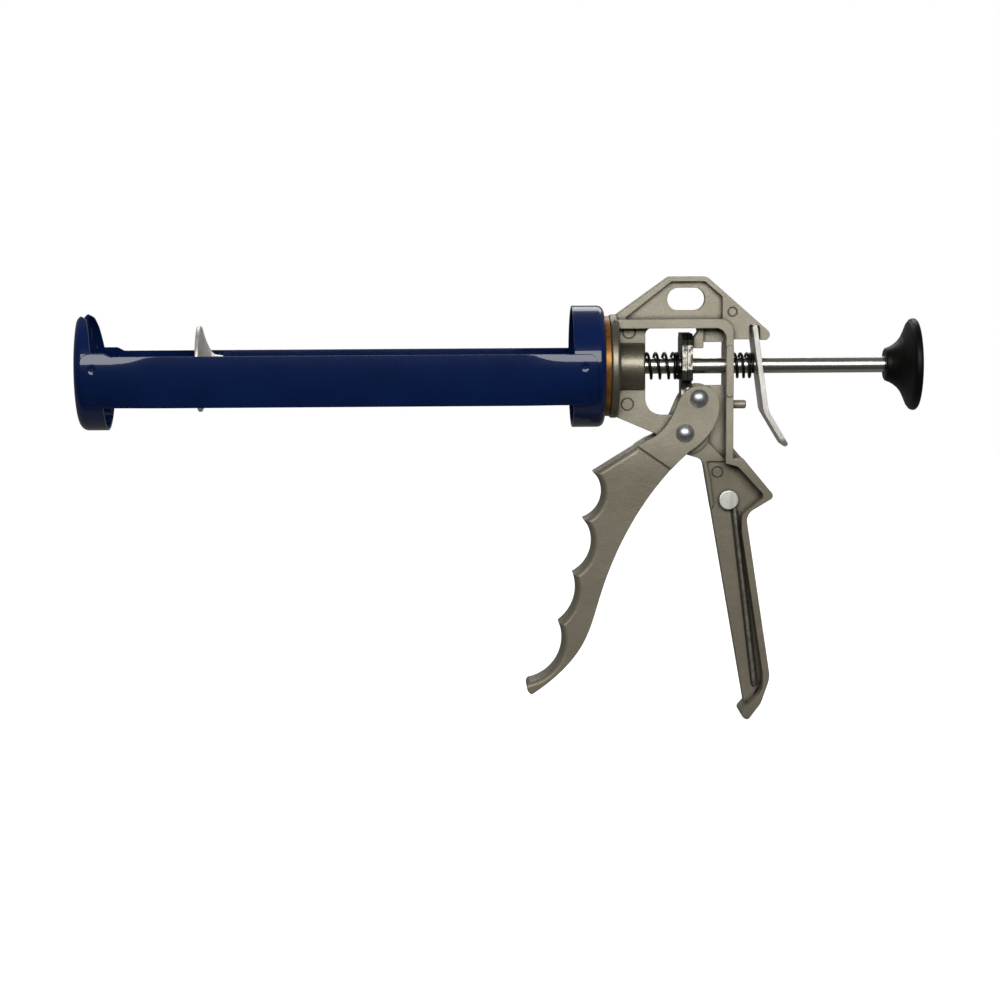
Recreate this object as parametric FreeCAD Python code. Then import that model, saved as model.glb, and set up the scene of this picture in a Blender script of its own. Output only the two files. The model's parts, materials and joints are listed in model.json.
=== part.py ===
"""A heavy skeleton caulking gun with a revolving strap cradle, one solid per sub-part, in millimetres.

The nozzle end points to -X, the hand end to +X, +Z is up and +Y is the gun's right-hand side.
The origin is on the push rod's axis, on the inner face of the front plate, where a cartridge's shoulder sits.
"""
import FreeCAD
import Part
import math
import os

V = FreeCAD.Vector

# Push rod and what runs on it
ROD_R = 3.5
ROD_HOLE_R = 3.85
ROD_FRONT_X = 50.6
ROD_REAR_X = 360.0

# Cradle: two pressed cups joined by two side straps
SHEET = 1.2
CUP_R = 26.6
FRONT_CUP_DEPTH = 12.1
REAR_CUP_RIM_X = 213.3
REAR_CUP_BACK_X = 227.3
SPIGOT_HOLE_R = 12.3
NOZZLE_SLOT_R = 11.5
STRAP_X = (2.0, 223.5)
STRAP_TOP_Z = 6.8
STRAP_BOTTOM_Z = -15.4

# Swivel joint between the cradle and the frame
WASHER_X = (227.35, 229.55)
WASHER_R = 21.9
THRUST_WASHER_X = (224.7, 226.05)
THRUST_WASHER_R = 17.0
CIRCLIP_X = (223.4, 224.6)
SPIGOT_R = 12.0
SPIGOT_FRONT_X = 221.6
FLANGE_X = (229.6, 233.4)
FLANGE_R = 22.7
BOSS_R = 11.1
BOSS_END_X = 245.0

# Frame casting: half-thicknesses of its levels, and the rear bar
RAIL_HALF = 10.0
RIM_HALF = 5.0
WEB_HALF = 4.2
FLOOR_HALF = 3.0
PANEL_HALF = 2.5
PIVOT_PAD_HALF = 5.2
BAR_X = (280.4, 283.6)
WINDOW_TOP_Z = 16.8
RAIL_TOP_Z = 20.7

# Trigger: a fork above, a channel open to the rear below
PIVOT = (262.6, -29.1)
PUSHER = (268.7, -13.9)
TRIGGER_HALF = 9.0
GRIP_HALF = 8.5
GRIP_ROUND = 2.8
GRIP_TOP = ((246.4, -31.9), (222.6, -46.4))
SCALLOPS = (
    ((222.6, -46.4), (226.5, -56.4), (218.1, -67.0)),
    ((218.1, -67.0), (222.0, -78.4), (213.6, -91.2)),
    ((213.6, -91.2), (214.9, -98.4), (207.2, -113.0)),
    ((207.2, -113.0), (208.8, -122.0), (196.5, -138.0)),
)
TOE = ((196.5, -138.0), (193.0, -141.4), (195.2, -144.3))
CHEEK_STEP = ((236.0, -30.6), (258.5, -46.3))
FORK_HALF = 5.4
PIVOT_PIN_R = 2.4
PUSHER_PIN_R = 1.9
RIVET_HEAD_R = 4.05
RIVET_HEAD_HEIGHT = 2.4

# Gripping plates, springs and release lever
PLATE_THICKNESS = 2.3
PLATE_FRONT_X = 261.1
PLATE_HALF_WIDTH = 10.7
SPRING_WIRE = 1.3
DRIVE_SPRING_R = 5.5
RELEASE_SPRING_R = 5.15
LEVER_THICKNESS = 2.2
LEVER_HALF_WIDTH = 10.0
LEVER_HOLE_R = 4.0

# Puncture wire in the handle
WIRE_RIVET = (282.2, -58.9)
WIRE_R = 0.9
WIRE_Y = -4.0
WIRE_GROOVE_LEVEL = 2.1
WIRE_PIN_R = 1.2
WIRE_TIP = (294.3, -142.4)


def rounded_wire(corners, y):
    """Closed outline in the plane y, through (x, z, radius) corners."""
    arcs = []
    for i, (x, z, radius) in enumerate(corners):
        here = V(x, y, z)
        before = V(corners[i - 1][0], y, corners[i - 1][1])
        after = V(corners[(i + 1) % len(corners)][0], y, corners[(i + 1) % len(corners)][1])
        back = (before - here).normalize()
        on = (after - here).normalize()
        half_angle = back.getAngle(on) / 2
        reach = radius / math.tan(half_angle)
        start = here + back * reach
        end = here + on * reach
        inward = (back + on).normalize()
        middle = here + inward * (radius / math.sin(half_angle) - radius)
        arcs.append((start, middle, end))
    edges = []
    for i, (start, middle, end) in enumerate(arcs):
        last_end = arcs[i - 1][2]
        if last_end.distanceToPoint(start) > 1e-4:
            edges.append(Part.makeLine(last_end, start))
        if start.distanceToPoint(end) > 1e-4:
            edges.append(Part.Arc(start, middle, end).toShape())
    return Part.Wire(edges)


def slab(corners, y0, y1):
    """Flat piece with a rounded side outline, from y0 to y1."""
    return Part.Face(rounded_wire(corners, y0)).extrude(V(0, y1 - y0, 0))


def centred_slab(corners, half):
    return slab(corners, -half, half)


def outside(corners, half):
    """The material of an outline beyond +half and -half, for recessing both faces of a web."""
    return slab(corners, half, 20.0).fuse(slab(corners, -20.0, -half))


def bar_x(radius, x0, x1, y=0.0, z=0.0):
    return Part.makeCylinder(radius, x1 - x0, V(x0, y, z), V(1, 0, 0))


def bar_y(radius, centre, y0, y1):
    return Part.makeCylinder(radius, y1 - y0, V(centre[0], y0, centre[1]), V(0, 1, 0))


def box(x0, x1, y0, y1, z0, z1):
    return Part.makeBox(x1 - x0, y1 - y0, z1 - z0, V(x0, y0, z0))


def ring_x(outer, inner, x0, x1):
    return bar_x(outer, x0, x1).cut(bar_x(inner, x0 - 1, x1 + 1))


def turned(profile):
    """Solid of revolution about the rod's axis, from a closed (x, radius) polygon."""
    points = [V(x, 0, radius) for x, radius in profile]
    face = Part.Face(Part.makePolygon(points + points[:1]))
    return face.revolve(V(0, 0, 0), V(1, 0, 0), 360)


def turned_rounded(corners):
    """Solid of revolution about the rod's axis, from (x, radius, rounding) corners."""
    return Part.Face(rounded_wire(corners, 0.0)).revolve(V(0, 0, 0), V(1, 0, 0), 360)


def largest(shape):
    return max(shape.Solids, key=lambda solid: solid.Volume)


def save(node, shape):
    shape.removeSplitter().exportStep("parts/" + node + ".step")


def cup(back_x, rim_x, corner):
    """Pressed cup with a flat end plate and a drawn rim."""
    side = 1 if rim_x > back_x else -1
    shell = turned_rounded([
        (back_x, 0.0, 0.0),
        (back_x, CUP_R, corner),
        (rim_x, CUP_R, 0.3),
        (rim_x, CUP_R - SHEET, 0.3),
        (back_x + side * SHEET, CUP_R - SHEET, corner - SHEET),
        (back_x + side * SHEET, 0.0, 0.0),
    ])
    return shell


def front_cap():
    cap = cup(-SHEET, FRONT_CUP_DEPTH - SHEET, 3.6)
    nozzle_slot = bar_x(NOZZLE_SLOT_R, -5, 15).fuse(box(-5, 15, -NOZZLE_SLOT_R, NOZZLE_SLOT_R, 0, 30))
    above_straps = slab([
        (20.0, 7.4, 0.0),
        (6.5, 7.4, 1.5),
        (4.9, 17.5, 6.0),
        (3.6, 22.2, 3.0),
        (-0.3, 24.6, 0.0),
        (-3.0, 24.6, 0.0),
        (-3.0, 30.0, 0.0),
        (20.0, 30.0, 0.0),
    ], -30, 30)
    cap = cap.cut(nozzle_slot).cut(above_straps)
    return cap


def rear_cap():
    cap = cup(REAR_CUP_BACK_X, REAR_CUP_RIM_X, 3.0)
    return cap.cut(bar_x(SPIGOT_HOLE_R, 220, 230))


def strap(side):
    """Curved side strap outside both cups, with rounded ends and a wider front end."""
    shell = ring_x(CUP_R + SHEET, CUP_R, STRAP_X[0], STRAP_X[1])
    outline = [
        (STRAP_X[0], STRAP_BOTTOM_Z, 4.0),
        (STRAP_X[1], STRAP_BOTTOM_Z, 4.0),
        (STRAP_X[1], STRAP_TOP_Z, 4.0),
        (15.5, STRAP_TOP_Z, 3.0),
        (11.5, STRAP_TOP_Z + 1.6, 3.0),
        (STRAP_X[0], STRAP_TOP_Z + 1.6, 4.0),
    ]
    piece = largest(shell.common(slab(outline, 0.0, side * 30.0)))
    for x, z in ((5.4, 2.5), (5.4, -9.0), (217.8, 0.0), (217.8, -13.0)):
        y = side * math.sqrt((CUP_R + SHEET) ** 2 - z ** 2)
        outward = V(0, y, z).normalize()
        dimple = Part.makeSphere(2.0, V(x, y, z) + outward * 1.6)
        piece = piece.cut(dimple)
    return piece


def circlip():
    ring = ring_x(14.0, 11.2, *CIRCLIP_X)
    gap = box(220, 226, -3.0, 3.0, -15, 0)
    return ring.cut(gap)


def frame_web():
    """Central web, from the front flange to the foot of the handle, with the window cut out."""
    web = centred_slab([
        (231.5, 19.0, 0.0),
        (284.0, 19.0, 0.0),
        (284.0, -41.0, 0.0),
        (287.0, -41.6, 0.0),
        (300.0, -57.0, 0.0),
        (289.0, -65.0, 0.0),
        (297.0, -126.0, 0.0),
        (297.5, -138.0, 0.0),
        (291.0, -153.0, 0.0),
        (289.6, -149.5, 0.0),
        (272.3, -49.5, 12.0),
        (270.9, -41.0, 5.0),
        (263.5, -38.8, 3.0),
        (251.4, -30.2, 4.0),
        (231.5, -21.6, 0.0),
    ], WEB_HALF)
    window = centred_slab([
        (245.5, WINDOW_TOP_Z, 3.0),
        (280.4, WINDOW_TOP_Z, 0.0),
        (280.4, -8.7, 0.0),
        (272.4, -8.7, 1.0),
        (272.4, -20.4, 1.5),
        (259.6, -20.4, 0.8),
        (258.4, -21.8, 0.8),
        (245.5, -21.8, 8.0),
    ], 20)
    thin_strip = outside([
        (273.4, -8.0, 0.0),
        (281.0, -8.0, 0.0),
        (281.0, -41.6, 0.0),
        (273.4, -33.8, 0.8),
    ], PANEL_HALF)
    handle_pocket = outside([
        (272.3, -41.9, 0.8),
        (287.0, -41.9, 0.0),
        (300.0, -57.0, 0.0),
        (290.0, -68.0, 0.0),
        (299.0, -130.0, 0.0),
        (297.0, -146.0, 0.0),
        (291.0, -150.8, 1.0),
        (287.4, -146.0, 0.0),
        (282.0, -110.0, 0.0),
        (271.0, -68.0, 0.0),
        (275.6, -61.5, 2.0),
        (274.2, -50.0, 8.0),
    ], FLOOR_HALF)
    wire_groove = slab([
        (283.3, -64.0, 0.0),
        (286.6, -64.0, 0.0),
        (296.1, -142.6, 1.5),
        (292.8, -143.0, 1.5),
    ], -WEB_HALF - 4.0, -WIRE_GROOVE_LEVEL)
    return web.cut(window).cut(thin_strip).cut(handle_pocket).cut(wire_groove)


def frame_head():
    """Sloping top plate with the hanging slot, the rear ear and the notch for the release lever."""
    head = centred_slab([
        (231.5, 17.5, 0.0),
        (231.5, 21.5, 0.0),
        (256.0, 39.0, 2.5),
        (272.5, 39.0, 2.5),
        (301.0, 13.8, 2.4),
        (298.6, 11.3, 1.4),
        (295.6, 11.3, 0.4),
        (295.6, 17.4, 0.8),
        (291.0, 18.3, 0.8),
        (291.0, 11.6, 0.4),
        (282.0, 11.6, 0.0),
        (282.0, 17.5, 0.0),
    ], RIM_HALF)
    panel = outside([
        (235.6, 20.5, 0.6),
        (256.8, 37.0, 1.5),
        (271.5, 37.0, 1.5),
        (279.2, 30.2, 1.0),
        (279.2, 20.5, 0.6),
    ], PANEL_HALF)
    hang_slot = centred_slab([
        (255.2, 24.3, 4.9),
        (255.2, 34.2, 4.9),
        (271.8, 34.2, 4.9),
        (271.8, 24.3, 4.9),
    ], 20)
    return head.cut(panel).cut(hang_slot)


def frame_rails():
    """Wide rails: over the window, down behind it, and round the back of the handle."""
    window_rail = centred_slab([
        (231.5, WINDOW_TOP_Z, 0.0),
        (BAR_X[0], WINDOW_TOP_Z, 4.5),
        (BAR_X[0], -41.8, 0.0),
        (BAR_X[1], -41.8, 0.0),
        (BAR_X[1], RAIL_TOP_Z, 6.0),
        (231.5, RAIL_TOP_Z, 0.0),
    ], RAIL_HALF)
    back_strap = centred_slab([
        (280.4, -40.3, 0.0),
        (288.1, -40.3, 0.6),
        (302.1, -57.2, 2.0),
        (289.3, -64.8, 5.5),
        (299.1, -129.5, 18.0),
        (300.3, -137.5, 12.0),
        (296.3, -149.0, 9.0),
        (290.4, -156.6, 1.6),
        (287.0, -154.0, 1.8),
        (290.2, -150.4, 2.0),
        (296.9, -143.4, 7.0),
        (297.2, -136.5, 14.0),
        (287.6, -73.0, 8.0),
        (287.5, -65.2, 3.0),
        (297.7, -57.0, 2.0),
        (285.8, -43.8, 4.0),
        (280.4, -42.4, 0.0),
    ], RAIL_HALF)
    return window_rail.fuse(back_strap)


def frame_details():
    """Tooth, thin ear, rod pads, lever stop, gusset and pivot pad."""
    tooth = centred_slab([
        (266.7, 12.3, 0.3),
        (268.6, 14.6, 0.6),
        (268.2, 17.5, 0.0),
        (271.0, 17.5, 0.0),
        (271.0, 7.8, 0.8),
        (266.7, 7.8, 0.4),
    ], WEB_HALF)
    thin_ear = centred_slab([
        (270.5, 17.5, 0.0),
        (281.0, 17.5, 0.0),
        (281.0, 10.4, 0.0),
        (270.5, 10.4, 0.0),
    ], 2.0)
    rod_pad = centred_slab([
        (BAR_X[0], 9.2, 1.55),
        (BAR_X[1], 9.2, 1.55),
        (BAR_X[1], -13.2, 1.55),
        (BAR_X[0], -13.2, 1.55),
    ], RAIL_HALF + 0.7)
    lever_stop = bar_x(1.9, 283.0, 290.1, 0.0, -17.1)
    lever_stop = lever_stop.makeChamfer(0.5, [lever_stop.Edges[0]])
    gusset = centred_slab([
        (283.2, -34.8, 0.0),
        (288.4, -41.0, 0.0),
        (283.2, -41.0, 0.0),
    ], PANEL_HALF)
    pivot_pad = bar_y(9.4, (PIVOT[0] + 1.6, PIVOT[1]), -PIVOT_PAD_HALF, PIVOT_PAD_HALF)
    details = tooth
    for piece in (thin_ear, rod_pad, lever_stop, gusset, pivot_pad):
        details = details.fuse(piece)
    return details


def swivel_nose():
    """Front flange, the boss behind it and the spigot that carries the cradle."""
    return turned_rounded([
        (SPIGOT_FRONT_X, ROD_HOLE_R, 0.0),
        (BOSS_END_X, ROD_HOLE_R, 0.0),
        (BOSS_END_X, BOSS_R, 0.8),
        (FLANGE_X[1], BOSS_R, 1.5),
        (FLANGE_X[1], FLANGE_R, 1.2),
        (FLANGE_X[0], FLANGE_R, 1.2),
        (FLANGE_X[0], SPIGOT_R, 0.0),
        (CIRCLIP_X[1] + 0.05, SPIGOT_R, 0.0),
        (CIRCLIP_X[1] + 0.05, 11.15, 0.0),
        (CIRCLIP_X[0] - 0.05, 11.15, 0.0),
        (CIRCLIP_X[0] - 0.05, SPIGOT_R, 0.0),
        (SPIGOT_FRONT_X, SPIGOT_R, 0.6),
    ])


def frame_casting():
    body = frame_web()
    for piece in (frame_head(), frame_rails(), frame_details(), swivel_nose()):
        body = body.fuse(piece)
    body = body.cut(bar_x(ROD_HOLE_R, 220, 290))
    body = body.cut(bar_y(PIVOT_PIN_R + 0.05, PIVOT, -10, 10))
    body = body.cut(bar_y(WIRE_PIN_R, WIRE_RIVET, -10, 10))
    marks = ((238.3, 15.0, 3.0, WEB_HALF), (237.6, -16.6, 2.9, WEB_HALF),
             (283.6, 23.6, 2.2, RIM_HALF), (277.4, -46.9, 2.6, FLOOR_HALF))
    for x, z, radius, level in marks:
        ring = bar_y(radius, (x, z), -level - 1.0, -level + 0.4)
        body = body.cut(ring.cut(bar_y(radius - 0.55, (x, z), -level - 1.0, -level + 0.4)))
    return largest(body)


def arc_through(points):
    return Part.Arc(*[V(x, 0, z) for x, z in points])


def trigger_outline():
    """Side outline: fork lobe, finger scallops down the front, smooth curve up the back."""
    edges = [Part.makeLine(*[V(x, 0, z) for x, z in GRIP_TOP])]
    edges.extend(arc_through(points).toShape() for points in SCALLOPS)
    edges.append(arc_through(TOE).toShape())
    back = Part.BSplineCurve()
    back.interpolate([V(TOE[2][0], 0, TOE[2][1]), V(202.3, 0, -139.2), V(207.0, 0, -135.2), V(217.9, 0, -121.6), V(225.4, 0, -100.6),
                      V(233.5, 0, -79.6), V(248.0, 0, -55.2), V(264.2, 0, -37.4)])
    edges.append(back.toShape())
    fork = Part.BSplineCurve()
    fork.interpolate([V(264.2, 0, -37.4), V(272.8, 0, -29.9), V(277.2, 0, -21.0), V(276.5, 0, -12.4),
                      V(269.6, 0, -8.2), V(262.4, 0, -11.2), V(257.6, 0, -20.4), V(252.8, 0, -27.7),
                      V(246.4, 0, -31.9)])
    edges.append(fork.toShape())
    return Part.Wire(edges)


def spool_face(origin, direction, near, wall):
    """Half section of a rounding cutter: from near to the wall along direction, flared at both sides."""
    def at(depth, y):
        return origin + direction * depth + V(0, y, 0)

    half = GRIP_HALF + 0.04
    flare = 1 - math.sqrt(0.5)
    edges = []
    for side in (-1, 1):
        foot = at(wall, side * (half - GRIP_ROUND))
        middle = at(wall + GRIP_ROUND * flare, side * (half - GRIP_ROUND * flare))
        brim = at(wall + GRIP_ROUND, side * half)
        edges.append(Part.Arc(foot, middle, brim).toShape())
        edges.append(Part.makeLine(brim, at(wall + GRIP_ROUND, side * 14)))
        edges.append(Part.makeLine(at(wall + GRIP_ROUND, side * 14), at(near, side * 14)))
    edges.append(Part.makeLine(at(wall, -half + GRIP_ROUND), at(wall, half - GRIP_ROUND)))
    edges.append(Part.makeLine(at(near, -14), at(near, 14)))
    return Part.Face(Part.Wire(Part.__sortEdges__(edges)))


def scallop_cutter(points):
    """Spool that carves one finger scallop with rounded edges, a little past its ends."""
    circle = Part.Circle(*[V(x, 0, z) for x, z in points])
    centre = circle.Center
    angles = [math.degrees(math.atan2(z - centre.z, x - centre.x)) for x, z in points]
    sweep = (angles[0] - angles[2]) % 360
    past = math.degrees(GRIP_ROUND * 1.3 / circle.Radius)
    start = math.radians(angles[0] + past)
    face = spool_face(centre, V(math.cos(start), 0, math.sin(start)), 1.0, circle.Radius)
    return face.revolve(centre, V(0, 1, 0), sweep + 2 * past)


def grip_top_cutter():
    """Straight rounding cutter along the top of the grip, from its first tip to the cheek's step."""
    start, tip = [V(x, 0, z) for x, z in GRIP_TOP]
    along = (tip - start).normalize()
    inward = V(-along.z, 0, along.x)
    face = spool_face(start + along * 6.3, inward, -12.0, 0.0)
    return face.extrude(along * 29.2)


def step_groove(side):
    """Shallow hollow along the foot of the step between cheek and grip."""
    start, end = [V(x - 0.55, side * (GRIP_HALF + 0.9), z - 0.78) for x, z in CHEEK_STEP]
    along = end - start
    return Part.makeCylinder(1.3, along.Length + 4, start - along.normalize() * 2, along)


def trigger():
    outline = trigger_outline()
    outline.translate(V(0, -TRIGGER_HALF, 0))
    body = Part.Face(outline).extrude(V(0, 2 * TRIGGER_HALF, 0))
    channel = centred_slab([
        (243.5, -29.0, 0.0),
        (248.0, -37.0, 2.0),
        (231.8, -48.0, 3.0),
        (227.6, -72.0, 20.0),
        (220.4, -96.0, 20.0),
        (213.8, -121.0, 10.0),
        (204.8, -133.8, 1.5),
        (212.0, -136.0, 0.0),
        (260.0, -60.0, 0.0),
        (290.0, -40.0, 0.0),
        (290.0, 0.0, 0.0),
        (250.0, 0.0, 0.0),
    ], FORK_HALF)
    step = [
        (*CHEEK_STEP[0], 0.0),
        (*CHEEK_STEP[1], 0.0),
        (230.0, -150.0, 0.0),
        (180.0, -150.0, 0.0),
        (180.0, -30.0, 0.0),
    ]
    body = body.cut(channel).cut(outside(step, GRIP_HALF)).cut(grip_top_cutter())
    for points in SCALLOPS:
        body = body.cut(scallop_cutter(points))
    for side in (-1, 1):
        body = body.cut(step_groove(side))
    body = body.cut(bar_y(PIVOT_PIN_R, PIVOT, -10, 10))
    body = body.cut(bar_y(PUSHER_PIN_R, PUSHER, -10, 10))
    return largest(body)


def dome_rivet(centre, shank_r):
    """Cross rivet with a domed head outside each cheek."""
    sphere_r = (RIVET_HEAD_R ** 2 + RIVET_HEAD_HEIGHT ** 2) / (2 * RIVET_HEAD_HEIGHT)
    rivet = bar_y(shank_r, centre, -TRIGGER_HALF, TRIGGER_HALF)
    for side in (-1, 1):
        crown_y = side * (TRIGGER_HALF + RIVET_HEAD_HEIGHT - sphere_r)
        ball = Part.makeSphere(sphere_r, V(centre[0], crown_y, centre[1]))
        ends = sorted((side * TRIGGER_HALF, side * 15.0))
        rivet = rivet.fuse(ball.common(bar_y(10.0, centre, *ends)))
    return rivet


def push_sleeve():
    sleeve = bar_y(2.7, PUSHER, -FORK_HALF + 0.1, FORK_HALF - 0.1)
    return sleeve.cut(bar_y(PUSHER_PIN_R, PUSHER, -10, 10))


def grip_plate(x0):
    """Gripping plate: wide above the trigger's fork, narrow where its tail hangs between the cheeks."""
    corners = [
        (-8.2, 14.3), (8.2, 14.3), (PLATE_HALF_WIDTH, 11.6), (PLATE_HALF_WIDTH, -6.0),
        (5.0, -6.0), (5.0, -18.4), (-5.0, -18.4), (-5.0, -6.0),
        (-PLATE_HALF_WIDTH, -6.0), (-PLATE_HALF_WIDTH, 11.6),
    ]
    points = [V(x0, y, z) for y, z in corners]
    plate = Part.Face(Part.makePolygon(points + points[:1])).extrude(V(PLATE_THICKNESS, 0, 0))
    return plate.cut(bar_x(ROD_HOLE_R, x0 - 1, x0 + 5))


def coil(x0, x1, radius, turns):
    """Compression spring round the rod, between x0 and x1, swept in half turns."""
    wire_r = SPRING_WIRE / 2
    length = x1 - x0 - SPRING_WIRE
    halves = 2 * turns
    edges = []
    for i in range(halves):
        helix = Part.makeHelix(length / turns, length / halves, radius)
        helix.rotate(V(0, 0, 0), V(0, 0, 1), 180 * i)
        helix.translate(V(0, 0, length * i / halves))
        edges.extend(helix.Edges)
    section = Part.Wire(Part.makeCircle(wire_r, V(radius, 0, 0), V(0, 1, 0)))
    spring = Part.Wire(edges).makePipeShell([section], True, True)
    spring.rotate(V(0, 0, 0), V(0, 1, 0), 90)
    spring.translate(V(x0 + wire_r, 0, 0))
    return spring


def plunger():
    """Spun trumpet plate: flat rim that pushes the cartridge piston, a dish for the nut, a hub behind."""
    return turned([
        (50.0, 15.3), (50.0, 18.4), (50.4, 18.8), (51.4, 18.8), (51.8, 18.2),
        (52.4, 16.0), (53.4, 12.9), (54.9, 9.6), (56.2, 7.4), (57.6, 6.2), (61.0, 5.8),
        (61.0, ROD_R), (54.2, ROD_R), (54.2, 7.4), (53.4, 8.8), (51.9, 11.8), (50.7, 14.5),
    ])


def plunger_nut():
    """Thin hexagon nut inside the plunger's dish."""
    points = [V(50.9, 5.2 * math.cos(math.radians(60 * i)), 5.2 * math.sin(math.radians(60 * i)))
              for i in range(6)]
    nut = Part.Face(Part.makePolygon(points + points[:1])).extrude(V(2.5, 0, 0))
    return nut.cut(bar_x(ROD_R, 50, 55))


def knob():
    """Moulded pull knob: round hub flaring into a broad disc."""
    return turned([
        (351.0, ROD_R), (351.0, 6.5), (351.5, 7.2), (353.4, 7.9), (355.2, 9.0), (356.8, 10.3),
        (358.5, 12.4), (360.0, 15.4), (361.4, 18.6), (362.4, 19.8), (363.4, 20.2), (364.4, 20.1),
        (365.1, 19.4), (365.3, 18.4), (365.3, 0.0), (ROD_REAR_X, 0.0), (ROD_REAR_X, ROD_R),
    ])


def release_lever():
    """Bent steel strip: hooked top end in the ear's notch, clearance hole round the rod, thumb tab below."""
    half = LEVER_THICKNESS / 2
    middle = [(293.0, 16.5), (297.9, -19.4), (307.0, -35.0)]
    strip = slab([
        (middle[0][0] - half, middle[0][1], 0.6),
        (middle[0][0] + half, middle[0][1], 0.6),
        (middle[1][0] + half, middle[1][1], 8.0),
        (middle[2][0] + half * 0.85, middle[2][1] + half * 0.5, 0.9),
        (middle[2][0] - half * 0.85, middle[2][1] - half * 0.5, 0.9),
        (middle[1][0] - half, middle[1][1] - 0.6, 6.5),
    ], -LEVER_HALF_WIDTH, LEVER_HALF_WIDTH)
    tab_sides = []
    for side in (-1, 1):
        corner = box(296.0, 312.0, side * LEVER_HALF_WIDTH - 4, side * LEVER_HALF_WIDTH + 4, -40, -31.5)
        rounding = Part.makeCylinder(5.2, 30.0, V(290.0, side * (LEVER_HALF_WIDTH - 5.2), -31.5), V(1, 0, 0))
        tab_sides.append(corner.cut(rounding))
    for piece in tab_sides:
        strip = strip.cut(piece)
    hole = Part.makeCylinder(LEVER_HOLE_R, 20.0, V(285.0, 0, -1.3), V(1, 0, 0.135))
    pivot_edge = bar_y(half, middle[0], -LEVER_HALF_WIDTH, LEVER_HALF_WIDTH)
    return largest(strip.cut(hole).fuse(pivot_edge))


def puncture_wire():
    """Wire with an eye round its rivet and a pointed end, lying in the handle's pocket."""
    eye_r = WIRE_PIN_R + 0.08 + WIRE_R
    eye = Part.makeTorus(eye_r, WIRE_R, V(WIRE_RIVET[0], WIRE_Y, WIRE_RIVET[1]), V(0, 1, 0))
    start = V(WIRE_RIVET[0] + eye_r, WIRE_Y, WIRE_RIVET[1])
    run = V(WIRE_TIP[0], WIRE_Y, WIRE_TIP[1]) - start
    length = run.Length
    run.normalize()
    shank = Part.makeCylinder(WIRE_R, length - 3.0, start, run)
    point = Part.makeCone(WIRE_R, 0.25, 3.0, start + run * (length - 3.0), run)
    return eye.fuse(shank).fuse(point)


def wire_rivet():
    head = bar_y(4.3, WIRE_RIVET, -6.1, -5.0)
    head = head.makeFillet(0.4, [edge for edge in head.Edges if edge.BoundBox.YMax < -6.0])
    shank = bar_y(WIRE_PIN_R, WIRE_RIVET, -5.0, 4.2)
    tail = bar_y(2.4, WIRE_RIVET, FLOOR_HALF, FLOOR_HALF + 1.2)
    return head.fuse(shank).fuse(tail)


def main():
    os.makedirs("parts", exist_ok=True)
    save("front_cap", front_cap())
    save("rear_cap", rear_cap())
    save("strap_left", strap(-1))
    save("strap_right", strap(1))
    save("friction_washer", ring_x(WASHER_R, SPIGOT_R + 0.1, *WASHER_X))
    save("thrust_washer", ring_x(THRUST_WASHER_R, SPIGOT_R + 0.1, *THRUST_WASHER_X))
    save("circlip", circlip())
    save("frame_casting", frame_casting())
    save("trigger", trigger())
    save("pivot_rivet", dome_rivet(PIVOT, PIVOT_PIN_R))
    save("pusher_rivet", dome_rivet(PUSHER, PUSHER_PIN_R))
    save("push_sleeve", push_sleeve())
    save("grip_plate_front", grip_plate(PLATE_FRONT_X))
    save("grip_plate_rear", grip_plate(PLATE_FRONT_X + PLATE_THICKNESS + 0.1))
    save("drive_spring", coil(BOSS_END_X + 0.6, PLATE_FRONT_X - 0.3, DRIVE_SPRING_R, 5))
    save("push_rod", bar_x(ROD_R, ROD_FRONT_X, ROD_REAR_X))
    save("plunger", plunger())
    save("plunger_washer", ring_x(6.6, ROD_R, 53.4, 54.2))
    save("plunger_nut", plunger_nut())
    save("knob", knob())
    save("release_lever", release_lever())
    save("release_spring", coil(BAR_X[1] + 0.55, 293.2, RELEASE_SPRING_R, 3))
    save("puncture_wire", puncture_wire())
    save("wire_rivet", wire_rivet())


main()
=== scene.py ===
import json
import math

import bmesh
import bpy
from mathutils import Matrix, Vector


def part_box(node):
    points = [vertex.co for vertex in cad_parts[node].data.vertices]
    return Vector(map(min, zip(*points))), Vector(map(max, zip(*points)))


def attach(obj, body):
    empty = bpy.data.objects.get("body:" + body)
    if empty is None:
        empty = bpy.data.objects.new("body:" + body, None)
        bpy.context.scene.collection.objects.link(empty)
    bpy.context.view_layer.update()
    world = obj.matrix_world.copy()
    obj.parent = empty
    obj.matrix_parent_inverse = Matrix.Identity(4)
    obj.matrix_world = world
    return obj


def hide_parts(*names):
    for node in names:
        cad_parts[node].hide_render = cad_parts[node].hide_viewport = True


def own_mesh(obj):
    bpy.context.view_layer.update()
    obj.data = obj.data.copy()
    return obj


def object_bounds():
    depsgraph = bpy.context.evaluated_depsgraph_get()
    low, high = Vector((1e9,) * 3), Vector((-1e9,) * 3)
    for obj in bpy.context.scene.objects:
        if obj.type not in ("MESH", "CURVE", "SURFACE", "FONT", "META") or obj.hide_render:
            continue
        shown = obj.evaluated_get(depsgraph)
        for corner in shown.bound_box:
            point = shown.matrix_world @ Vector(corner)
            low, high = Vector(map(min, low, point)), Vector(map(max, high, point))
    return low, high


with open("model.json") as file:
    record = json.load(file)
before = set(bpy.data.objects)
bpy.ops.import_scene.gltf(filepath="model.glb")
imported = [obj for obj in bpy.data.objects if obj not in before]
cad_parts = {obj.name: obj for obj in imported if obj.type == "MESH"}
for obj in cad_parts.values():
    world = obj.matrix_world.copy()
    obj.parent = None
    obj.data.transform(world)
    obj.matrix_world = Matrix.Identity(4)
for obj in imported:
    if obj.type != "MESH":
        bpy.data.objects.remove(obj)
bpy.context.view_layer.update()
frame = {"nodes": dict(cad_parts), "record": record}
NODES = frame["nodes"]
SCENE = bpy.context.scene


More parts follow.
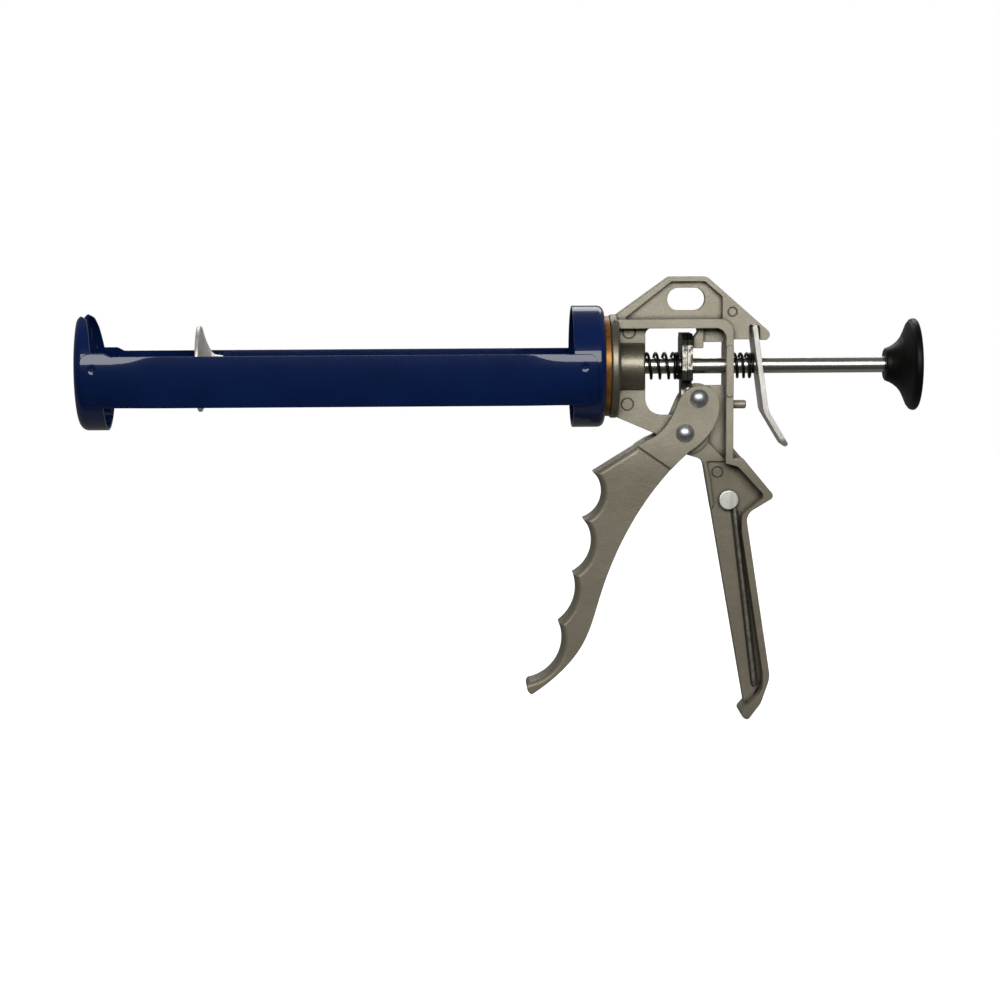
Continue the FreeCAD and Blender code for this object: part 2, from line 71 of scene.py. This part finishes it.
# ---------------------------------------------------------------- camera

SENSOR_WIDTH = 36.0                      # mm
LENS = 94.25                             # mm
CAMERA_PLACE = (0.153, -1.147, 0.0681)   # m
CAMERA_TURN = (1.434, -6.308, -0.292)    # yaw, pitch and roll in degrees


def make_camera():
    """Long lens in front of the gun's left side, a little above the rod."""
    data = bpy.data.cameras.new("camera")
    data.sensor_width = SENSOR_WIDTH
    data.lens = LENS
    data.clip_start = 0.05
    data.clip_end = 20.0
    camera = bpy.data.objects.new("camera", data)
    SCENE.collection.objects.link(camera)
    camera.location = CAMERA_PLACE
    yaw, pitch, roll = (math.radians(a) for a in CAMERA_TURN)
    camera.rotation_euler = (
        Matrix.Rotation(-yaw, 3, "Z")
        @ Matrix.Rotation(math.pi / 2 + pitch, 3, "X")
        @ Matrix.Rotation(roll, 3, "Z")
    ).to_euler()
    SCENE.camera = camera


make_camera()


# ---------------------------------------------------------------- node helpers

def linear(*srgb):
    """Linear colour from 0-255 display values."""
    out = []
    for value in srgb:
        c = value / 255.0
        out.append(c / 12.92 if c <= 0.04045 else ((c + 0.055) / 1.055) ** 2.4)
    return (*out, 1.0)


class Finish:
    """One node material on a Principled shader, built up in layers in the piece's coordinates."""

    def __init__(self, name, metallic=0.0, roughness=0.5, **sockets):
        self.material = bpy.data.materials.new(name)
        self.material.use_nodes = True
        self.tree = self.material.node_tree
        self.shader = self.tree.nodes["Principled BSDF"]
        self.shader.inputs["Metallic"].default_value = metallic
        self.shader.inputs["Roughness"].default_value = roughness
        for key, value in sockets.items():
            self.shader.inputs[key.replace("_", " ")].default_value = value
        self.place = self.tree.nodes.new("ShaderNodeTexCoord").outputs["Object"]
        self.height = None

    def link(self, source, target):
        self.tree.links.new(source, target)

    def node(self, kind, **settings):
        made = self.tree.nodes.new(kind)
        for key, value in settings.items():
            setattr(made, key, value)
        return made

    def stretched(self, scale):
        """Coordinates scaled apart along the three axes, for drawn grain."""
        mapping = self.node("ShaderNodeMapping")
        mapping.inputs["Scale"].default_value = scale
        self.link(self.place, mapping.inputs["Vector"])
        return mapping.outputs["Vector"]

    def noise(self, scale, detail=3.0, rough=0.55, stretch=None):
        made = self.node("ShaderNodeTexNoise")
        made.inputs["Scale"].default_value = scale
        made.inputs["Detail"].default_value = detail
        made.inputs["Roughness"].default_value = rough
        self.link(self.stretched(stretch) if stretch else self.place, made.inputs["Vector"])
        return made.outputs["Fac"]

    def ramp(self, value, stops):
        """Grey levels or colours along a value."""
        made = self.node("ShaderNodeValToRGB")
        points = made.color_ramp.elements
        while len(points) < len(stops):
            points.new(0.5)
        for point, (at, colour) in zip(points, stops):
            point.position = at
            point.color = colour if isinstance(colour, tuple) else (colour, colour, colour, 1.0)
        self.link(value, made.inputs["Fac"])
        return made.outputs["Color"]

    def maths(self, operation, a, b=None):
        made = self.node("ShaderNodeMath", operation=operation)
        for socket, value in zip(made.inputs, (a, b)):
            if value is None:
                continue
            if isinstance(value, (int, float)):
                socket.default_value = value
            else:
                self.link(value, socket)
        return made.outputs[0]

    def mix(self, factor, a, b, blend="MIX"):
        made = self.node("ShaderNodeMix", data_type="RGBA", blend_type=blend)
        for name, value in (("Factor", factor), ("A", a), ("B", b)):
            index = {"Factor": 0, "A": 6, "B": 7}[name]
            if isinstance(value, (int, float, tuple)):
                made.inputs[index].default_value = value
            else:
                self.link(value, made.inputs[index])
        return made.outputs[2]

    def axis(self, name, source=None):
        """One component of a vector, or of the place."""
        made = self.node("ShaderNodeSeparateXYZ")
        self.link(source or self.place, made.inputs[0])
        return made.outputs[name]

    def radius(self):
        """Distance from the rod's axis."""
        made = self.node("ShaderNodeVectorMath", operation="LENGTH")
        flattened = self.node("ShaderNodeVectorMath", operation="MULTIPLY")
        flattened.inputs[1].default_value = (0.0, 1.0, 1.0)
        self.link(self.place, flattened.inputs[0])
        self.link(flattened.outputs[0], made.inputs[0])
        return made.outputs["Value"]

    def band(self, value, low, high, soft):
        """1 between low and high, fading to 0 over soft outside them."""
        rise = self.node("ShaderNodeMapRange", interpolation_type="SMOOTHSTEP")
        fall = self.node("ShaderNodeMapRange", interpolation_type="SMOOTHSTEP")
        for made, a, b in ((rise, low - soft, low), (fall, high + soft, high)):
            made.inputs["From Min"].default_value = a
            made.inputs["From Max"].default_value = b
            self.link(value, made.inputs["Value"])
        return self.maths("MULTIPLY", rise.outputs[0], fall.outputs[0])

    def occlusion(self, distance, low, high):
        """0 in recesses and along contact lines, 1 in the open."""
        made = self.node("ShaderNodeAmbientOcclusion", samples=8)
        made.inputs["Distance"].default_value = distance
        return self.ramp(made.outputs["AO"], ((low, 0.0), (high, 1.0)))

    def edges(self, radius, low, high):
        """1 along edges, from how far a rounded normal leaves the true one."""
        rounded = self.node("ShaderNodeBevel", samples=6)
        rounded.inputs["Radius"].default_value = radius
        true = self.node("ShaderNodeNewGeometry")
        product = self.node("ShaderNodeVectorMath", operation="DOT_PRODUCT")
        self.link(rounded.outputs[0], product.inputs[0])
        self.link(true.outputs["Normal"], product.inputs[1])
        return self.ramp(product.outputs["Value"], ((low, 1.0), (high, 0.0)))

    def colour(self, value):
        if isinstance(value, tuple):
            self.shader.inputs["Base Color"].default_value = value
        else:
            self.link(value, self.shader.inputs["Base Color"])

    def rough(self, value, low, high):
        """Roughness from low to high as the value goes from 0 to 1."""
        made = self.node("ShaderNodeMapRange")
        made.inputs["To Min"].default_value = low
        made.inputs["To Max"].default_value = high
        self.link(value, made.inputs["Value"])
        self.link(made.outputs[0], self.shader.inputs["Roughness"])

    def bump(self, value, depth, bevel=None):
        """Relief of a depth in metres, over earlier relief or over edges rounded to a bevel."""
        made = self.node("ShaderNodeBump")
        made.inputs["Strength"].default_value = 1.0
        made.inputs["Distance"].default_value = depth
        self.link(value, made.inputs["Height"])
        if self.height is not None:
            self.link(self.height, made.inputs["Normal"])
        elif bevel:
            rounded = self.node("ShaderNodeBevel", samples=6)
            rounded.inputs["Radius"].default_value = bevel
            self.link(rounded.outputs[0], made.inputs["Normal"])
        self.height = made.outputs[0]
        self.link(self.height, self.shader.inputs["Normal"])


# ---------------------------------------------------------------- finishes

def navy_enamel():
    """Glossy enamel with a slight orange peel."""
    f = Finish("navy_enamel", roughness=0.3,
               Coat_Weight=0.6, Coat_Roughness=0.05, Specular_IOR_Level=0.05)
    cloud = f.ramp(f.noise(60.0), ((0.3, (0.0011, 0.0082, 0.047, 1.0)),
                                   (0.7, (0.0018, 0.0105, 0.060, 1.0))))
    # Painted shade: the enamel is darker in recesses and along contact lines.
    shade = f.occlusion(0.004, 0.25, 0.8)
    f.colour(f.mix(shade, linear(4, 9, 24), cloud))
    f.rough(f.noise(900.0), 0.22, 0.36)
    f.bump(f.noise(150.0, detail=1.0), 0.00007, bevel=0.0006)
    return f.material


# The casting's turned places end here, along the rod and out from it, in metres.
FLANGE_END, FLANGE_RADIUS = 0.2335, 0.0235
BOSS_END, BOSS_RADIUS = 0.2455, 0.0113
# The grips' browner colour and painted shade, darker towards the bottom, reach up to here and
# fade out above it.
GRIP_TOP, GRIP_FADE = -0.049, 0.019


def cast_paint():
    """Satin paint on a die casting: pale grit on flat faces, smoother elsewhere; painted shade
    darkens faces that do not face sideways, the flange and boss, creases, edges and the lower
    grips, which are also browner.
    """
    f = Finish("cast_paint", roughness=0.42)
    geometry = f.node("ShaderNodeNewGeometry")
    sideways = f.maths("ABSOLUTE", f.axis("Y", geometry.outputs["True Normal"]))
    flat = f.ramp(sideways, ((0.86, 0.0), (0.985, 1.0)))
    flange, boss = (f.maths("MULTIPLY", f.maths("LESS_THAN", f.axis("X"), end),
                            f.maths("LESS_THAN", f.radius(), radius))
                    for end, radius in ((FLANGE_END, FLANGE_RADIUS), (BOSS_END, BOSS_RADIUS)))
    turned = f.maths("MAXIMUM", flange, boss)
    grip = f.band(f.axis("Z"), -0.3, GRIP_TOP, GRIP_FADE)
    cloud = f.ramp(f.noise(45.0, detail=4.0), ((0.25, linear(150, 143, 124)),
                                               (0.75, linear(170, 164, 146))))
    grit = f.ramp(f.noise(2200.0, detail=2.0), ((0.3, 0.74), (0.7, 1.0)))
    gritty = f.mix(1.0, cloud, grit, "MULTIPLY")
    # Less grit on the grips; there the colour turns browner and darker, the darkening partly
    # painted shade where the light falls off towards the bottom.
    base = f.mix(f.ramp(grip, ((0.0, 0.9), (1.0, 0.35))), cloud, gritty)
    base = f.mix(f.ramp(grip, ((0.0, 0.0), (1.0, 0.5))), base, linear(54, 46, 20))
    # Painted shade: faces that do not face sideways are darkened.
    base = f.mix(f.ramp(flat, ((0.0, 0.22), (1.0, 0.0))), base, linear(56, 51, 39))
    # Painted shade: the flange and boss are darkened; their higher metallic and lower roughness
    # below are their glossier finish.
    base = f.mix(f.maths("MULTIPLY", turned, 0.45), base, linear(48, 44, 34))
    # Painted shade in creases, recesses and along contact lines.
    lines = f.occlusion(0.0028, 0.38, 0.90)
    base = f.mix(lines, linear(46, 42, 32), base)
    # Painted shade: thin dark lines along the edges, where the rounding turns away from the
    # light.
    rounded = f.edges(0.0006, 0.80, 0.985)
    f.colour(f.mix(f.maths("MULTIPLY", rounded, 0.45), base, linear(78, 72, 56)))
    f.link(f.ramp(turned, ((0.0, 0.30), (1.0, 0.75))), f.shader.inputs["Metallic"])
    f.rough(f.maths("ADD", f.maths("MULTIPLY", turned, -0.5), f.noise(1500.0)), 0.36, 0.52)
    f.bump(f.noise(1500.0, detail=3.0), 0.00010, bevel=0.0005)
    f.bump(f.noise(160.0, detail=2.0), 0.00014)
    return f.material


def zinc_plate():
    """Bright plated rivet domes and small turned parts."""
    f = Finish("zinc_plate", metallic=1.0, roughness=0.2)
    cloud = f.ramp(f.noise(180.0, detail=4.0), ((0.3, linear(176, 180, 182)),
                                                (0.7, linear(216, 218, 218))))
    # Painted shade: the plate is darker in recesses and along contact lines.
    shade = f.occlusion(0.0015, 0.3, 0.85)
    f.colour(f.mix(shade, linear(60, 58, 50), cloud))
    f.rough(f.noise(700.0), 0.36, 0.46)
    f.bump(f.noise(420.0), 0.00003, bevel=0.0003)
    return f.material


def zinc_sheet():
    """Duller plate on pressed sheet, with faint drawing scratches."""
    f = Finish("zinc_sheet", metallic=0.85, roughness=0.45)
    cloud = f.ramp(f.noise(140.0, detail=5.0), ((0.3, linear(206, 203, 194)),
                                                (0.7, linear(236, 234, 228))))
    scratch = f.ramp(f.noise(900.0, detail=4.0, stretch=(1.0, 1.0, 0.06)),
                     ((0.35, 0.82), (0.6, 1.0)))
    # Painted shade: the sheet is darker in recesses and along contact lines.
    shade = f.occlusion(0.0015, 0.3, 0.85)
    f.colour(f.mix(shade, linear(60, 58, 50), f.mix(1.0, cloud, scratch, "MULTIPLY")))
    f.rough(f.noise(500.0), 0.40, 0.54)
    f.bump(f.noise(700.0, detail=4.0, stretch=(1.0, 1.0, 0.1)), 0.00004, bevel=0.0004)
    return f.material


def drawn_wire():
    """Hardened wire: drawn surface that shines along its length."""
    f = Finish("drawn_wire", metallic=0.9, roughness=0.3)
    f.colour(f.ramp(f.noise(400.0, detail=4.0), ((0.3, linear(150, 146, 134)),
                                                 (0.7, linear(206, 202, 190)))))
    f.rough(f.noise(900.0), 0.24, 0.40)
    f.bump(f.noise(1200.0), 0.00002)
    return f.material


def bright_rod():
    """Bright drawn steel with its grain along the rod."""
    f = Finish("bright_rod", metallic=1.0, roughness=0.28)
    drawn = f.noise(220.0, detail=5.0, stretch=(0.03, 1.0, 1.0))
    f.colour(f.ramp(drawn, ((0.3, linear(168, 166, 156)), (0.7, linear(214, 212, 204)))))
    f.rough(f.noise(900.0, stretch=(0.05, 1.0, 1.0)), 0.22, 0.34)
    f.bump(f.noise(1400.0, stretch=(0.02, 1.0, 1.0)), 0.00002, bevel=0.0003)
    return f.material


TORN_BANDS = ((0.0005, 0.0105), (-0.0145, -0.0085))   # heights over the rod's axis, in metres


def phosphate_plate():
    """Dark plate whose blanked edge is torn bright over part of its height."""
    f = Finish("phosphate_plate", metallic=0.9, roughness=0.5)
    geometry = f.node("ShaderNodeNewGeometry")
    sideways = f.maths("ABSOLUTE", f.axis("Y", geometry.outputs["Normal"]))
    edge = f.maths("GREATER_THAN", sideways, 0.7)
    height = f.maths("ADD", f.axis("Z"), f.maths("MULTIPLY", f.noise(500.0), 0.003))
    upper, lower = (f.band(height, low, high, 0.0006) for low, high in TORN_BANDS)
    torn = f.maths("ADD", upper, lower)
    grain = f.ramp(f.noise(650.0, detail=5.0, stretch=(1.0, 1.0, 0.7)),
                   ((0.42, 0.12), (0.56, 1.0)))
    bright = f.maths("MULTIPLY", f.maths("MULTIPLY", edge, torn), grain)
    dark = f.ramp(f.noise(400.0, detail=4.0), ((0.3, linear(26, 26, 24)),
                                               (0.7, linear(52, 50, 45))))
    f.colour(f.mix(bright, dark, linear(222, 217, 204)))
    f.rough(f.noise(900.0), 0.32, 0.55)
    f.bump(f.noise(800.0, detail=3.0), 0.00010, bevel=0.0005)
    return f.material


def black_spring():
    """Oil-black spring wire."""
    f = Finish("black_spring", metallic=0.85, roughness=0.34)
    f.colour(f.ramp(f.noise(500.0), ((0.3, linear(20, 20, 19)), (0.7, linear(48, 46, 42)))))
    f.rough(f.noise(1200.0), 0.26, 0.45)
    f.bump(f.noise(2000.0), 0.00003)
    return f.material


def amber_bronze():
    """Dull bronze of the friction washer."""
    f = Finish("amber_bronze", metallic=0.6, roughness=0.4)
    f.colour(f.ramp(f.noise(260.0, detail=4.0), ((0.3, linear(104, 64, 20)),
                                                 (0.7, linear(152, 106, 38)))))
    f.rough(f.noise(600.0), 0.3, 0.5)
    f.bump(f.noise(900.0), 0.00004)
    return f.material


def black_plastic():
    """Finely grained moulding."""
    f = Finish("black_plastic", roughness=0.34, Specular_IOR_Level=0.16)
    f.colour(f.ramp(f.noise(300.0), ((0.3, linear(5, 5, 4)), (0.7, linear(9, 8, 7)))))
    f.rough(f.noise(1200.0), 0.36, 0.5)
    f.bump(f.noise(2600.0, detail=2.0), 0.00004, bevel=0.0004)
    return f.material


FINISHES = {
    "navy_paint": navy_enamel(),
    "cast_paint": cast_paint(),
    "zinc_steel": zinc_plate(),
    "rod_steel": bright_rod(),
    "plate_steel": phosphate_plate(),
    "spring_steel": black_spring(),
    "amber_washer": amber_bronze(),
    "black_plastic": black_plastic(),
}


def dress_frame():
    """Every carried-over node gets its slot's finish, or its own where its surface differs."""
    own = {"plunger": zinc_sheet(), "puncture_wire": drawn_wire()}
    own["release_lever"] = own["wire_rivet"] = own["plunger_washer"] = own["plunger"]
    for row in frame["record"]["subparts"]:
        mesh = NODES[row["node"]].data
        mesh.materials.clear()
        mesh.materials.append(own.get(row["node"], FINISHES[row["material_slot"]]))


dress_frame()


# ---------------------------------------------------------------- pieces

def add_piece(name, build, body, slot):
    """A mesh object made by build(bm), which rides on a body."""
    bm = bmesh.new()
    build(bm)
    bmesh.ops.recalc_face_normals(bm, faces=bm.faces)
    mesh = bpy.data.meshes.new(name)
    bm.to_mesh(mesh)
    bm.free()
    for polygon in mesh.polygons:
        polygon.use_smooth = True
    mesh.materials.append(FINISHES[slot])
    piece = bpy.data.objects.new(name, mesh)
    SCENE.collection.objects.link(piece)
    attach(piece, body)
    return piece


TUBE_SIDES = 14


def tube(bm, points, radius):
    """Closed round tube along points, with flat ends."""
    rings = []
    count = len(points)
    for i, point in enumerate(points):
        ahead = (points[min(i + 1, count - 1)] - points[max(i - 1, 0)]).normalized()
        out = Vector((0.0, point.y, point.z)).normalized()
        up = ahead.cross(out).normalized()
        out = up.cross(ahead).normalized()
        ring = []
        for k in range(TUBE_SIDES):
            a = 2 * math.pi * k / TUBE_SIDES
            ring.append(bm.verts.new(point + radius * (math.cos(a) * out + math.sin(a) * up)))
        rings.append(ring)
    for near, far in zip(rings, rings[1:]):
        for k in range(TUBE_SIDES):
            after = (k + 1) % TUBE_SIDES
            bm.faces.new((near[k], near[after], far[after], far[k]))
    bm.faces.new(rings[0])
    bm.faces.new(rings[-1])


WIRE = 0.00125      # both springs' wire, in metres
TURN_STEPS = 36     # points to a turn


def coil_points(x0, x1, radius, turns, closed, phase):
    """Helix round the rod, open from x0 and with its last turns closed up at x1."""
    total = int(TURN_STEPS * turns)
    tight = int(TURN_STEPS * closed)
    closed_rise = WIRE * 1.05 / TURN_STEPS
    open_rise = (x1 - x0 - WIRE - closed_rise * tight) / (total - tight)
    x = x0 + WIRE / 2
    points = []
    for i in range(total + 1):
        a = 2 * math.pi * i / TURN_STEPS + phase
        points.append(Vector((x, radius * math.cos(a), radius * math.sin(a))))
        x += closed_rise if i >= total - tight else open_rise
    return points


def add_spring(name, node, turns, closed, phase):
    """Wound wire in place of a CAD spring, riding on the frame."""
    low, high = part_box(node)
    ends = (low.x - 0.0003, high.x + 0.0002)
    points = coil_points(*ends, high.z - WIRE / 2, turns, closed, phase)
    spring = add_piece(name, lambda bm: tube(bm, points, WIRE / 2), "frame", "spring_steel")
    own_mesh(spring)
    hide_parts(node)


add_spring("drive_coil", "drive_spring",
           turns=4.75, closed=1.5, phase=0.6)
add_spring("release_coil", "release_spring",
           turns=3.5, closed=1.0, phase=0.6)


def smoothstep(value, low, high):
    """0 below low, 1 above high, and smooth between them."""
    t = min(1.0, max(0.0, (value - low) / (high - low)))
    return t * t * (3 - 2 * t)


# Lengths in metres.
STRAP_SHEET = 0.0012                  # thickness
STRAP_CORNER = 0.004                  # radius of the corners
STRAP_LIFT = 0.0016                   # how much higher the front end's tab stands
LIFT_FADE = (0.0095, 0.0135)          # from the front end, where the tab runs out
FLAT_CENTRE = 0.0043                  # the flatter part's middle, below the rod's axis
FLAT_INSET = 0.0009                   # its distance there inside the strap's full radius
FLAT_SLOPE, FLAT_ROUND = 0.085, 0.12  # its lean, and twice its radius of curvature
FLAT_STARTS = (0.014, 0.034)          # from the front end
FLAT_ENDS = (0.032, 0.016)            # from the rear end
STRAP_ROWS = 44
END_STEP, END_COLUMNS = 0.00045, 33
MIDDLE_STEPS = 46
# Weld dimples: from the strap's front end, and over the rod's axis.
WELDS = ((0.0051, 0.0013), (0.0051, -0.0117), (0.2159, 0.0011), (0.2159, -0.0129))
DIMPLE_DEPTH, DIMPLE_RADIUS = 0.0006, 0.0013
CROWN_HEIGHT, CROWN_RADIUS = 0.0005, 0.0007


def strap_columns(x0, x1):
    """Places along a strap, close together at its rounded and dimpled ends."""
    near = [x0 + END_STEP * i for i in range(END_COLUMNS)]
    far = [x1 - END_STEP * i for i in range(END_COLUMNS)][::-1]
    gap = far[0] - near[-1]
    middle = [near[-1] + gap * (i + 1) / MIDDLE_STEPS for i in range(MIDDLE_STEPS - 1)]
    return near + middle + far


def corner_drop(x, x0, x1, radius):
    """How far a rounded end pulls the edge in at x."""
    d = min(x - x0, x1 - x)
    return 0.0 if d >= radius else radius - math.sqrt(max(0.0, radius ** 2 - (radius - d) ** 2))


def strap_offset(x, z, x0, x1, radius):
    """How far out the outer face lies: round at the strap's ends, flatter between them."""
    round_face = math.sqrt(radius ** 2 - z ** 2)
    t = z + FLAT_CENTRE
    flat_face = radius - FLAT_INSET + FLAT_SLOPE * t - t * t / FLAT_ROUND
    starts = smoothstep(x, x0 + FLAT_STARTS[0], x0 + FLAT_STARTS[1])
    ends = smoothstep(x, x1 - FLAT_ENDS[0], x1 - FLAT_ENDS[1])
    share = starts * (1 - ends)
    return round_face + share * (flat_face - round_face)


def weld_depth(x, z, x0):
    """Depth of the pressed weld dimples, each with a low crown at its centre."""
    depth = 0.0
    for wx, wz in WELDS:
        r = math.hypot(x - x0 - wx, z - wz)
        hollow = DIMPLE_DEPTH * math.exp(-(r / DIMPLE_RADIUS) ** 4)
        crown = CROWN_HEIGHT * math.exp(-(r / CROWN_RADIUS) ** 2)
        depth += hollow - crown
    return depth


def add_strap(name, node):
    """Pressed strap with rounded ends and weld dimples, in place of the CAD strap."""
    low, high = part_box(node)
    side = -1.0 if low.y < -0.02 else 1.0
    radius = max(-low.y, high.y)
    x0, x1, z0, z1 = low.x, high.x, low.z, high.z - STRAP_LIFT

    def sheet(bm, inward, dimpled):
        """One face of the strap, as columns of points."""
        columns = []
        for x in strap_columns(x0, x1):
            drop = corner_drop(x, x0, x1, STRAP_CORNER)
            lift = 1 - smoothstep(x, x0 + LIFT_FADE[0], x0 + LIFT_FADE[1])
            top = z1 + STRAP_LIFT * lift - drop
            bottom = z0 + drop
            column = []
            for i in range(STRAP_ROWS + 1):
                z = bottom + (top - bottom) * i / STRAP_ROWS
                dimple = weld_depth(x, z, x0) if dimpled else 0.0
                out = strap_offset(x, z, x0, x1, radius) - inward - dimple
                column.append(bm.verts.new((x, side * out, z)))
            columns.append(column)
        return columns

    def build(bm):
        outer = sheet(bm, 0.0, True)
        inner = sheet(bm, STRAP_SHEET, False)
        for columns in (outer, inner):
            for a, b in zip(columns, columns[1:]):
                for i in range(STRAP_ROWS):
                    bm.faces.new((a[i], a[i + 1], b[i + 1], b[i]))
        last = len(outer) - 1
        for c in range(last):
            for i in (0, STRAP_ROWS):
                bm.faces.new((outer[c][i], outer[c + 1][i], inner[c + 1][i], inner[c][i]))
        for i in range(STRAP_ROWS):
            for c in (0, last):
                bm.faces.new((outer[c][i], outer[c][i + 1], inner[c][i + 1], inner[c][i]))

    strap = add_piece(name, build, "cradle", "navy_paint")
    bevel = strap.modifiers.new("edges", "BEVEL")
    bevel.width = 0.0003
    bevel.segments = 3
    bevel.limit_method = "ANGLE"
    bevel.angle_limit = math.radians(50)
    strap.modifiers.new("normals", "WEIGHTED_NORMAL").keep_sharp = True
    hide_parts(node)


add_strap("strap_near", "strap_left")
add_strap("strap_far", "strap_right")


# ---------------------------------------------------------------- stage and light

FLOOR_GAP = 0.0004
FLOOR_TILE = 0.1


def make_floor():
    """Pale floor under the gun, which glows so that its far parts stay white."""
    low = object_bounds()[0].z - FLOOR_GAP
    bm = bmesh.new()
    across = [-1.3 + FLOOR_TILE * i for i in range(31)]
    depth = [-0.9 + FLOOR_TILE * i for i in range(22)]
    grid = [[bm.verts.new((x, y, low)) for x in across] for y in depth]
    for near, far in zip(grid, grid[1:]):
        for i in range(len(across) - 1):
            bm.faces.new((near[i], near[i + 1], far[i + 1], far[i]))
    mesh = bpy.data.meshes.new("floor")
    bm.to_mesh(mesh)
    bm.free()
    floor = bpy.data.objects.new("floor", mesh)
    f = Finish("floor_paper", roughness=0.9, Specular_IOR_Level=0.0,
               Emission_Color=(1.0, 1.0, 1.0, 1.0), Emission_Strength=0.84)
    f.colour(f.ramp(f.noise(3.0), ((0.3, 0.5), (0.7, 0.54))))
    mesh.materials.append(f.material)
    floor.visible_glossy = False
    floor.visible_diffuse = False
    SCENE.collection.objects.link(floor)


def add_light(name, place, target, size, power, mirrored=True):
    """Rectangular soft light, which the gun may mirror."""
    data = bpy.data.lights.new(name, "AREA")
    data.shape = "RECTANGLE"
    data.size, data.size_y = size
    data.energy = power
    light = bpy.data.objects.new(name, data)
    light.location = place
    light.visible_glossy = mirrored
    light.rotation_euler = (Vector(target) - Vector(place)).to_track_quat("-Z", "Y").to_euler()
    SCENE.collection.objects.link(light)


# How bright the room is round the gun, by degrees round its long axis:
# -180 and 180 in front, 90 above, 0 behind, -90 below.
ROOM = ((-180, 0.09), (-160, 0.06), (-115, 0.05), (-95, 0.24), (-60, 0.22),
        (-40, 0.18), (0, 0.20), (60, 0.24), (80, 0.22), (105, 0.10), (135, 0.10),
        (165, 0.14), (180, 0.09))


def make_world():
    """White to the eye, and for light a dark room, brighter below, behind and above."""
    world = bpy.data.worlds.new("studio")
    world.use_nodes = True
    tree = world.node_tree

    place = tree.nodes.new("ShaderNodeTexCoord")
    split = tree.nodes.new("ShaderNodeSeparateXYZ")
    tree.links.new(place.outputs["Generated"], split.inputs[0])
    turn = tree.nodes.new("ShaderNodeMath")
    turn.operation = "ARCTAN2"
    tree.links.new(split.outputs["Z"], turn.inputs[0])
    tree.links.new(split.outputs["Y"], turn.inputs[1])
    spread = tree.nodes.new("ShaderNodeMapRange")
    spread.inputs["From Min"].default_value = -math.pi
    spread.inputs["From Max"].default_value = math.pi
    tree.links.new(turn.outputs[0], spread.inputs["Value"])
    ramp = tree.nodes.new("ShaderNodeValToRGB")
    points = ramp.color_ramp.elements
    while len(points) < len(ROOM):
        points.new(0.5)
    for point, (degrees, grey) in zip(points, ROOM):
        point.position = (degrees + 180) / 360
        point.color = (grey, grey, grey, 1.0)
    tree.links.new(spread.outputs[0], ramp.inputs["Fac"])
    path = tree.nodes.new("ShaderNodeLightPath")
    seen = tree.nodes.new("ShaderNodeMix")
    seen.data_type = "RGBA"
    seen.inputs[7].default_value = (1.0, 1.0, 1.0, 1.0)
    tree.links.new(path.outputs["Is Camera Ray"], seen.inputs[0])
    tree.links.new(ramp.outputs["Color"], seen.inputs[6])
    tree.links.new(seen.outputs[2], tree.nodes["Background"].inputs["Color"])
    SCENE.world = world
    SCENE.view_settings.view_transform = "Standard"


def make_light():
    """One soft light in front, a fainter one behind, and one overhead for the floor."""
    centre = (0.2, 0.0, -0.02)
    add_light("front_soft", (0.2, -0.80, 0.32), centre, (0.86, 0.31), 7.5)
    add_light("rear_soft", (0.2, 1.0, 0.75), centre, (1.1, 0.5), 5.0)
    add_light("floor_wash", (0.2, -0.2, 1.7), (0.2, 0.0, -0.15), (2.4, 1.4), 12.0,
              mirrored=False)


make_world()
make_floor()
make_light()
